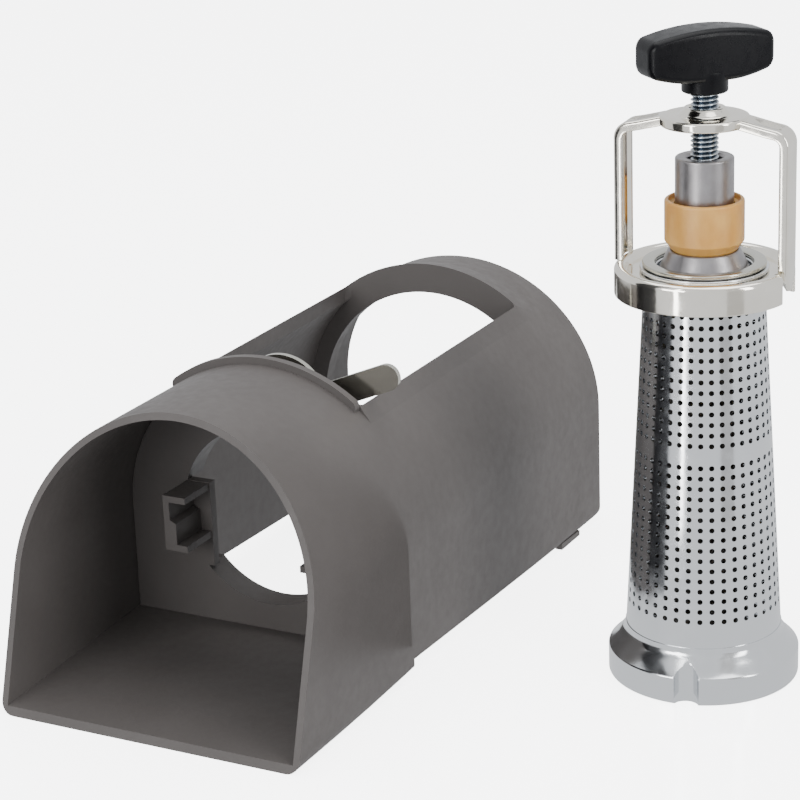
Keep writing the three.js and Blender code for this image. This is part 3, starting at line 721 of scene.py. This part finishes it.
def perforated_cone():
    """Conical sheet with a real hole in every cell, thickened inwards."""
    bm = bmesh.new()
    width = TAU / HOLE_COLUMNS
    # unit square in twelve steps round its edge, anticlockwise from its lower left corner
    third = 2 / 3
    edge = [(-1 + third * i, -1) for i in range(3)] + [(1, -1 + third * i) for i in range(3)]
    edge += [(1 - third * i, 1) for i in range(3)] + [(-1, 1 - third * i) for i in range(3)]

    def cell(column, z, half_z):
        middle = HOLE_PHASE + column * width
        radius = cone_radius(z)
        outer, inner = [], []
        for x, y in edge:
            outer.append(bm.verts.new(cone_point(middle + x * width / 2, z + y * half_z)))
            a = math.atan2(y, x)
            rim = cone_point(middle + HOLE_R * math.cos(a) / radius, z + HOLE_R * math.sin(a))
            inner.append(bm.verts.new(rim))
        for i in range(12):
            j = (i + 1) % 12
            bm.faces.new((outer[i], outer[j], inner[j], inner[i]))

    def band(z0, z1, rows):
        for column in range(HOLE_COLUMNS * 3):
            a0 = HOLE_PHASE - width / 2 + column * width / 3
            a1 = a0 + width / 3
            for i in range(rows):
                low = z0 + (z1 - z0) * i / rows
                high = z0 + (z1 - z0) * (i + 1) / rows
                corners = [(a0, low), (a1, low), (a1, high), (a0, high)]
                bm.faces.new([bm.verts.new(cone_point(a, z)) for a, z in corners])

    for rows in (LOWER_ROWS, UPPER_ROWS):
        half = (rows[1] - rows[0]) / 2
        for z in rows:
            for column in range(HOLE_COLUMNS):
                cell(column, z, half)
    low_half = (LOWER_ROWS[1] - LOWER_ROWS[0]) / 2
    up_half = (UPPER_ROWS[1] - UPPER_ROWS[0]) / 2
    band(CONE_Z[0] - 0.4, LOWER_ROWS[0] - low_half, 4)
    band(LOWER_ROWS[-1] + low_half, UPPER_ROWS[0] - up_half, 2)
    band(UPPER_ROWS[-1] + up_half, CONE_Z[1], 4)
    band(CONE_Z[1], RING_Z0, 2)
    bmesh.ops.remove_doubles(bm, verts=bm.verts, dist=5e-6)
    cone = piece_from(bm, "perforated_cone")
    sharpened(cone)
    sheet = cone.modifiers.new("sheet", "SOLIDIFY")
    sheet.thickness = 0.9 * MM
    sheet.offset = -1
    return finished(cone, "strainer", "polished_steel", POLISHED, "sieve_cone")


def arc(cx, cz, radius, start, end, steps=6):
    """Profile points on an arc, angles in degrees."""
    points = []
    for i in range(steps + 1):
        a = math.radians(start + (end - start) * i / steps)
        points.append((cx + radius * math.cos(a), cz + radius * math.sin(a)))
    return points


def base_flange():
    """Turned flange: straight rim, polished shoulder, fillet up to the cone, keyway."""
    inner = 20.7
    profile = [(inner, 1.4), (inner + 0.9, 0.3)] + arc(inner + 1.4, 0.6, 0.6, 225, 270, 3)
    profile += arc(26.2, 0.8, 0.8, -90, 0) + arc(26.1, 7.6, 0.9, 0, 60)
    profile += [(25.2, 9.6), (24.1, 11.0)] + arc(25.4, 14.4, 3.2, 230, 180, 6)
    profile += [(22.1, 15.2), (inner, 15.2)]
    flange = lathe(profile, "turned_flange", 144)
    radius = (flange_hi[0] - flange_lo[0]) / 2 + 0.6 * MM
    turn = math.radians(-79)
    bm = bmesh.new()
    bmesh.ops.create_cone(bm, cap_ends=True, segments=48, radius1=3.6 * MM, radius2=3.6 * MM, depth=40 * MM)
    bmesh.ops.translate(bm, vec=(AXIS_X + radius * math.cos(turn), AXIS_Y + radius * math.sin(turn), 0),
                        verts=bm.verts)
    carved(flange, [piece_from(bm, "keyway")])
    softened(flange, 0.3, 2, 40)
    return finished(flange, "strainer", "polished_steel", POLISHED, "base_flange")


RING_Z0 = ring_lo[2] / MM
RING_MID = ring_hi[2] / MM
WEAR_Z0 = wear_lo[2] / MM
RING_TOP = wear_hi[2] / MM


def round_ring(name, bore, outer, z0, z1, edge=0.35):
    profile = [(bore, z0)] + arc(outer - edge, z0 + edge, edge, -90, 0, 4)
    profile += arc(outer - edge, z1 - edge, edge, 0, 90, 4) + arc(bore + 0.5, z1 - 0.5, 0.5, 90, 180, 5)
    return lathe(profile, name, 128)


def outlet_rings():
    low = round_ring("outlet_flange", 12.9, 17.65, RING_Z0, RING_MID)
    finished(low, "strainer", "polished_steel", POLISHED, "outlet_ring")
    top = round_ring("wear_washer", 13.4, 16.95, WEAR_Z0, RING_TOP)
    finished(top, "strainer", "stainless", STAINLESS, "wear_ring")


YOKE_TURN = math.radians(4.3)


def yoke_place(x, y, z):
    """A point in the yoke's own turned frame, mm, put in its place."""
    c, s = math.cos(YOKE_TURN), math.sin(YOKE_TURN)
    return Vector((AXIS_X + (x * c - y * s) * MM, AXIS_Y + (x * s + y * c) * MM, z * MM))


def yoke_cap():
    """Dished cap with a raised round rim and a skirt, cut where one leg passes."""
    z0, top = base_lo[2] / MM, base_hi[2] / MM
    floor = top - 1.9
    under = floor - 1.6
    profile = [(16.9, under), (23.0, under), (23.1, z0 + 0.2)]
    profile += arc(23.5, z0 + 0.4, 0.4, 180, 270, 3) + arc(24.2, z0 + 0.4, 0.4, 270, 360, 3)
    profile += arc(23.0, top - 1.6, 1.6, 0, 90, 7) + arc(22.6, top - 1.2, 1.2, 90, 150, 4)
    profile += [(20.9, floor + 0.15), (20.2, floor), (16.9, floor)]
    cap = lathe(profile, "yoke_cap", 144)
    bm = bmesh.new()
    corners = [(21.3, -6.4), (40, -6.4), (40, 6.4), (21.3, 6.4)]
    swept(bm, [yoke_place(x, y, 90) for x, y in corners], (0, 0, 60 * MM))
    carved(cap, [piece_from(bm, "gate")])
    softened(cap, 0.3, 2, 40)
    return finished(cap, "strainer", "nickel_plate", NICKEL, "yoke_base")


STRAP_TOP = 161.5                             # outer face of the strap's arm, mm


def strap_path(side):
    """(x, z) centre of the strap's outer face, from under the disc to the foot of the leg."""
    top = STRAP_TOP
    end = top - 2.2
    bend = 4.6
    outer = 24.35
    foot = 114.6 if side > 0 else base_hi[2] / MM + 0.1
    points = [(9.0, top), (10.2, top), (11.6, top - 0.25)]
    for i in range(1, 5):
        k = i / 5
        points.append((11.6 + (outer - bend - 11.6) * k, top - 0.25 + (end - top + 0.25) * k))
    points += arc(outer - bend, end - bend, bend, 84, 0, 10)
    legs = 18
    for i in range(1, legs + 1):
        points.append((outer, end - bend + (foot - end + bend) * i / legs))
    return points


def strap(side):
    """Channel strap swept along its path: rolled edges turned in, a groove along the arm."""
    path = strap_path(side)
    bm = bmesh.new()
    rings = []
    count = len(path)
    for k, (x, z) in enumerate(path):
        before = path[max(k - 1, 0)]
        after = path[min(k + 1, count - 1)]
        along = Vector((after[0] - before[0], 0, after[1] - before[1])).normalized()
        inward = Vector((along.z, 0, -along.x))
        fade = smooth_between(x, 13.0, 15.0) * (1 - smooth_between(x, 19.5, 22.5))
        groove = 0.85 * fade if z > 150 else 0
        tip = smooth_between(z, path[-1][1] + 4.5, path[-1][1]) if side > 0 else 0
        half = 4.7 * (1 - 0.72 * tip)
        depth = 2.6 * (1 - 0.55 * tip)
        ring = []
        for w, n in strap_section(half, depth, groove):
            p = Vector((x, w, z)) + inward * n
            ring.append(bm.verts.new(yoke_place(side * p.x, side * p.y, p.z)))
        rings.append(ring)
    for a, b in zip(rings, rings[1:]):
        for i in range(len(a)):
            j = (i + 1) % len(a)
            bm.faces.new((a[i], a[j], b[j], b[i]))
    bm.faces.new(rings[0])
    bm.faces.new(rings[-1])
    return piece_from(bm, "strap")


def smooth_between(value, low, high):
    k = (value - low) / (high - low)
    k = min(max(k, 0), 1)
    return k * k * (3 - 2 * k)


def strap_section(half, depth, groove):
    """Closed outline of the channel, (across, inward)."""
    t = 1.0
    r = 0.75
    outer = [(-half, depth - 0.3), (-half, r), (-half + r * 0.29, r * 0.29), (-half + r, 0),
             (-half * 0.5, 0), (-half * 0.36, groove * 0.85), (0, groove), (half * 0.36, groove * 0.85),
             (half * 0.5, 0), (half - r, 0), (half - r * 0.29, r * 0.29), (half, r), (half, depth - 0.3)]
    inner = [(half - 0.3, depth), (half - t + 0.3, depth), (half - t, depth - 0.3), (half - t, t + 0.4),
             (half - t - 0.4, t), (half * 0.36, t + groove), (-half * 0.36, t + groove),
             (-half + t + 0.4, t), (-half + t, t + 0.4), (-half + t, depth - 0.3), (-half + t - 0.3, depth),
             (-half + 0.3, depth)]
    return outer + inner


def yoke_bridge():
    """Round plate with an extruded, threaded collar, and the two straps."""
    top = 161.6
    boss = 163.8
    hole = 4.0
    profile = [(hole, 158.7), (hole + 0.5, 158.3), (6.6, 158.8)] + arc(11.4, 159.6, 0.7, -90, 0, 4)
    profile += arc(11.4, top - 0.7, 0.7, 0, 90, 5) + [(7.8, top)] + arc(7.8, top + 1.3, 1.3, 270, 200, 5)
    profile += [(5.7, boss - 0.5)] + arc(5.2, boss - 0.5, 0.5, 0, 90, 3)
    profile += [(hole + 0.4, boss), (hole, boss - 0.4)]
    disc = lathe(profile, "disc", 96)
    bridge = joined([disc, strap(1), strap(-1)], "yoke_bridge")
    softened(bridge, 0.18, 2, 50)
    return finished(bridge, "strainer", "nickel_plate", NICKEL, "yoke_strap")


def thrust_bush():
    z0, z1 = bush_lo[2] / MM, bush_hi[2] / MM
    socket = 4.8
    profile = [(0, z0), (7.5, z0), (8.0, z0 + 0.5)] + arc(7.5, z1 - 0.5, 0.5, 0, 90, 5)
    profile += [(socket + 0.6, z1), (socket, z1 - 0.7), (socket, 142.2), (0, 142.2)]
    bush = lathe(profile, "pressure_bush", 96)
    softened(bush, 0.12, 2, 40)
    return finished(bush, "bush", "turned_steel", TURNED, "thrust_bush")


THREAD_PITCH = 1.25
THREAD_DEPTH = 0.68
THREAD_CREST_R = 3.84


def thread_radius(z, angle):
    """Rounded 60 degree thread: crest radius less the depth at this height and turn."""
    k = ((z / THREAD_PITCH) - angle / TAU) % 1
    rise = min(k, 1 - k) * 2
    shape = min(max((rise - 0.14) / 0.72, 0), 1)
    return THREAD_CREST_R - THREAD_DEPTH * shape


def threaded_screw():
    z0, z1 = screw_lo[2] / MM, screw_hi[2] / MM
    around, per_turn = 56, 10
    thread_top = 169.5
    step = THREAD_PITCH / per_turn
    levels = [z0]
    z = z0
    while z < thread_top:
        z += step
        levels.append(min(z, thread_top))
    bm = bmesh.new()
    rings = []
    for z in levels + [z1]:
        ring = []
        for i in range(around):
            a = TAU * i / around
            radius = thread_radius(min(z, thread_top), a)
            radius = min(radius, 2.9 + max(z - z0, 0))
            x = AXIS_X + radius * MM * math.cos(a)
            y = AXIS_Y + radius * MM * math.sin(a)
            ring.append(bm.verts.new((x, y, z * MM)))
        rings.append(ring)
    for a, b in zip(rings, rings[1:]):
        for i in range(around):
            j = (i + 1) % around
            bm.faces.new((a[i], a[j], b[j], b[i]))
    bm.faces.new(rings[0])
    bm.faces.new(rings[-1])
    screw = piece_from(bm, "threaded_screw")
    return finished(screw, "screw", "zinc_plate", ZINC, "pressure_screw")


HANDLE_TURN = math.radians(48.2)


def handle_section(x):
    """Lower edge, upper edge and half depth of the handle, at x along it, mm."""
    z0, z1 = 171.2, handle_hi[2] / MM - 0.05
    k = abs(x) / 18.5
    low = z0 + 0.1 + 2.6 * max(0, (k - 0.3) / 0.7) ** 1.7
    high = z1 - 2.6 * k ** 2
    half = 6.5 * (1 - 0.13 * k ** 2)
    return low, high, half


def tee_handle():
    """Arched bar, lofted from rounded sections, with a round hub under it."""
    bm = bmesh.new()
    end = 18.5
    round_off = 2.4
    turns = [math.radians(15 * i) for i in range(7)]
    tip = [(end - round_off * (1 - math.sin(a)), round_off * (1 - math.cos(a))) for a in turns]
    middle = [(-13.5 + 1.5 * i, 0) for i in range(19)]
    rings = []
    c, s = math.cos(HANDLE_TURN), math.sin(HANDLE_TURN)
    for x, inset in [(-x, inset) for x, inset in reversed(tip)] + middle + tip:
        low, high, half = handle_section(x)
        low, high, half = low + inset, high - inset, half - inset
        corner = max(1.9 - inset * 0.4, 0.8)
        ring = []
        for cy, cz, turn in [(half - corner, low + corner, -90), (half - corner, high - corner, 0),
                             (-half + corner, high - corner, 90), (-half + corner, low + corner, 180)]:
            for i in range(5):
                a = math.radians(turn + 22.5 * i)
                y, z = cy + corner * math.cos(a), cz + corner * math.sin(a)
                across = AXIS_X + (x * c - y * s) * MM
                along = AXIS_Y + (x * s + y * c) * MM
                ring.append(bm.verts.new((across, along, z * MM)))
        rings.append(ring)
    for a, b in zip(rings, rings[1:]):
        for i in range(len(a)):
            j = (i + 1) % len(a)
            bm.faces.new((a[i], a[j], b[j], b[i]))
    bm.faces.new(rings[0])
    bm.faces.new(rings[-1])
    bar = piece_from(bm, "bar")
    hub_z = handle_lo[2] / MM
    hub = lathe([(4.15, hub_z + 0.3), (4.45, hub_z)] + arc(5.7, hub_z + 0.6, 0.6, -90, 0, 4)
                + [(6.3, 171.0), (6.9, 172.4), (6.9, 174), (4.15, 174)], "hub", 64)
    handle = joined([bar, hub], "tee_handle_moulding")
    softened(handle, 0.25, 2, 45)
    return finished(handle, "screw", "black_handle", BLACK, "tee_handle")


def worm_tip(z):
    """How far the flight may reach inside the cone."""
    return cone_radius(z) - 1.9


def end_cone():
    """Steel cone in the turned steel finish, round the worm's neck, which closes the outlet round it."""
    lo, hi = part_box("end_cone")
    z0, z1 = lo[2] / MM, hi[2] / MM
    profile = [(8.95, z0), (12.0, z0), (12.4, z0 + 0.4), (12.4, z0 + 0.9)]
    profile += arc(12.2, z0 + 0.9, 0.2, 0, 90, 3)
    profile += [(10.0, z1 - 0.4), (9.6, z1), (8.95, z1)]
    cone = lathe(profile, "outlet_cone", 96)
    softened(cone, 0.1, 2, 50)
    return finished(cone, "worm", "polished_steel", TURNED, "end_cone")


def feed_worm():
    """Nylon worm: tapered core, deep helical flight, and the collar that shows in the yoke."""
    low = worm_lo[2] / MM
    plug1 = worm_hi[2] / MM
    profile = [(4.9, low), (11.5, low), (12.4, low + 0.9), (9.8, 112), (8.9, 114)]
    profile += [(8.8, 124.3), (8.8, 124.8)]
    profile += arc(9.0, 125.2, 0.4, 250, 310, 3) + arc(10.2, 127.4, 0.7, -50, 0, 4)
    profile += [(10.9, 128.4)] + arc(10.2, plug1 - 0.7, 0.7, 0, 90, 6)
    profile += [(9.8, plug1), (9.45, plug1 - 1.3), (8.3, plug1 - 1.4), (8.3, 130.2), (0, 130.2), (0, 30.3),
                (4.9, 30.3)]
    core = lathe(profile, "core", 96)
    bm = bmesh.new()
    turns, per_turn = 5, 48
    start, stop = low + 3, 106
    rings = []
    for i in range(turns * per_turn + 1):
        k = i / (turns * per_turn)
        a = k * turns * TAU
        z = start + (stop - start) * k
        root = 12.5 - 2.7 * k - 1
        tip = worm_tip(z + 2)
        ring = []
        lower = [(root, -2.4), (tip - 0.4, -1.0), (tip, -0.5)]
        upper = [(tip, 0.5), (tip - 0.4, 1.0), (root, 2.4)]
        for r, h in lower + upper:
            x = AXIS_X + r * MM * math.cos(a)
            y = AXIS_Y + r * MM * math.sin(a)
            ring.append(bm.verts.new((x, y, (z + h) * MM)))
        rings.append(ring)
    for a, b in zip(rings, rings[1:]):
        for i in range(6):
            j = (i + 1) % 6
            bm.faces.new((a[i], a[j], b[j], b[i]))
    bm.faces.new(rings[0])
    bm.faces.new(rings[-1])
    worm = joined([core, piece_from(bm, "flight")], "nylon_worm")
    softened(worm, 0.15, 2, 40)
    return finished(worm, "worm", "nylon", NYLON, "feed_worm")


def build_object():
    housing_moulding()
    lever_plate()
    lever_rivet()
    perforated_cone()
    base_flange()
    outlet_rings()
    yoke_cap()
    yoke_bridge()
    thrust_bush()
    threaded_screw()
    tee_handle()
    feed_worm()
    end_cone()
    kept = {"foot_left": GREY, "foot_right": GREY, "drive_socket": STAINLESS}
    for node, mat in kept.items():
        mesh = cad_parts[node].data
        mesh.materials.clear()
        mesh.materials.append(mat)


# ---- table, light and camera -----------------------------------------------------------
def table():
    bm = bmesh.new()
    bmesh.ops.create_grid(bm, x_segments=4, y_segments=4, size=4)
    floor = piece_from(bm, "table")
    floor.data.materials.append(table_top())
    floor.visible_diffuse = False
    floor.visible_glossy = False


def area_light(name, place, target, size, power, colour=(1, 1, 1)):
    data = bpy.data.lights.new(name, "AREA")
    data.shape = "RECTANGLE"
    data.size, data.size_y = size
    data.energy = power
    data.color = colour
    lamp = bpy.data.objects.new(name, data)
    bpy.context.scene.collection.objects.link(lamp)
    lamp.location = place
    lamp.rotation_euler = (Vector(target) - Vector(place)).to_track_quat("-Z", "Y").to_euler()
    return lamp


CARD_HEIGHT = 0.26
CARD_THICK = 0.002
CARD_FOOT = 0.01                              # above the table


def card(name, azimuth, distance, width, level):
    """Upright card close to the strainer: its polished steel shows it as a streak of this level."""
    bm = bmesh.new()
    bmesh.ops.create_cube(bm, size=1)
    bmesh.ops.scale(bm, vec=(width, CARD_THICK, CARD_HEIGHT), verts=bm.verts)
    bmesh.ops.rotate(bm, matrix=Matrix.Rotation(-math.radians(azimuth), 3, "Z"), verts=bm.verts)
    a = math.radians(azimuth)
    high = CARD_FOOT + CARD_HEIGHT / 2
    place = (AXIS_X - math.sin(a) * distance, AXIS_Y - math.cos(a) * distance, high)
    bmesh.ops.translate(bm, vec=place, verts=bm.verts)
    piece = piece_from(bm, name)
    paint = bpy.data.materials.new(name)
    paint.use_nodes = True
    shader = paint.node_tree.nodes["Principled BSDF"]
    shader.inputs["Base Color"].default_value = (0.01, 0.01, 0.012, 1)
    shader.inputs["Emission Color"].default_value = (1, 1, 1, 1)
    shader.inputs["Emission Strength"].default_value = level
    piece.data.materials.append(paint)
    piece.visible_camera = False
    piece.visible_diffuse = False
    piece.visible_shadow = False


def light():
    world = bpy.data.worlds.new("studio")
    world.use_nodes = True
    world.node_tree.nodes["Background"].inputs["Color"].default_value = (0.95, 0.97, 1.0, 1)
    world.node_tree.nodes["Background"].inputs["Strength"].default_value = 1.05
    bpy.context.scene.world = world
    area_light("overhead", (0.0, 0.15, 1.3), (0, 0, 0.05), (1.6, 1.0), 14)
    area_light("right_bank", (1.15, -0.35, 0.5), (0, 0, 0.1), (0.5, 0.9), 10)
    area_light("front_fill", (-0.35, -1.3, 0.4), (-0.05, -0.1, 0.03), (0.7, 0.5), 9)
    card("dark_card", 47, 0.08, 0.04, 0.0)
    card("bright_card", 12, 0.16, 0.014, 9.0)
    card("grey_card", -58, 0.16, 0.06, 0.6)


def camera():
    """Long lens, looking down a little, from the front right of the housing."""
    data = bpy.data.cameras.new("camera")
    data.sensor_width = 36
    data.lens = 116.6
    cam = bpy.data.objects.new("camera", data)
    bpy.context.scene.collection.objects.link(cam)
    turn, down, roll = math.radians(28.22), math.radians(18.93), math.radians(-2.15)
    forward = Vector((-math.sin(turn) * math.cos(down), math.cos(turn) * math.cos(down), -math.sin(down)))
    right = Vector((math.cos(turn), math.sin(turn), 0))
    up = right.cross(forward)
    tilted_right = math.cos(roll) * right + math.sin(roll) * up
    tilted_up = -math.sin(roll) * right + math.cos(roll) * up
    place = Matrix((tilted_right, tilted_up, -forward)).transposed().to_4x4()
    place.translation = Vector((318.05, -632.45, 317.0)) * MM
    cam.matrix_world = place
    bpy.context.scene.camera = cam


camera()
build_object()
table()
light()
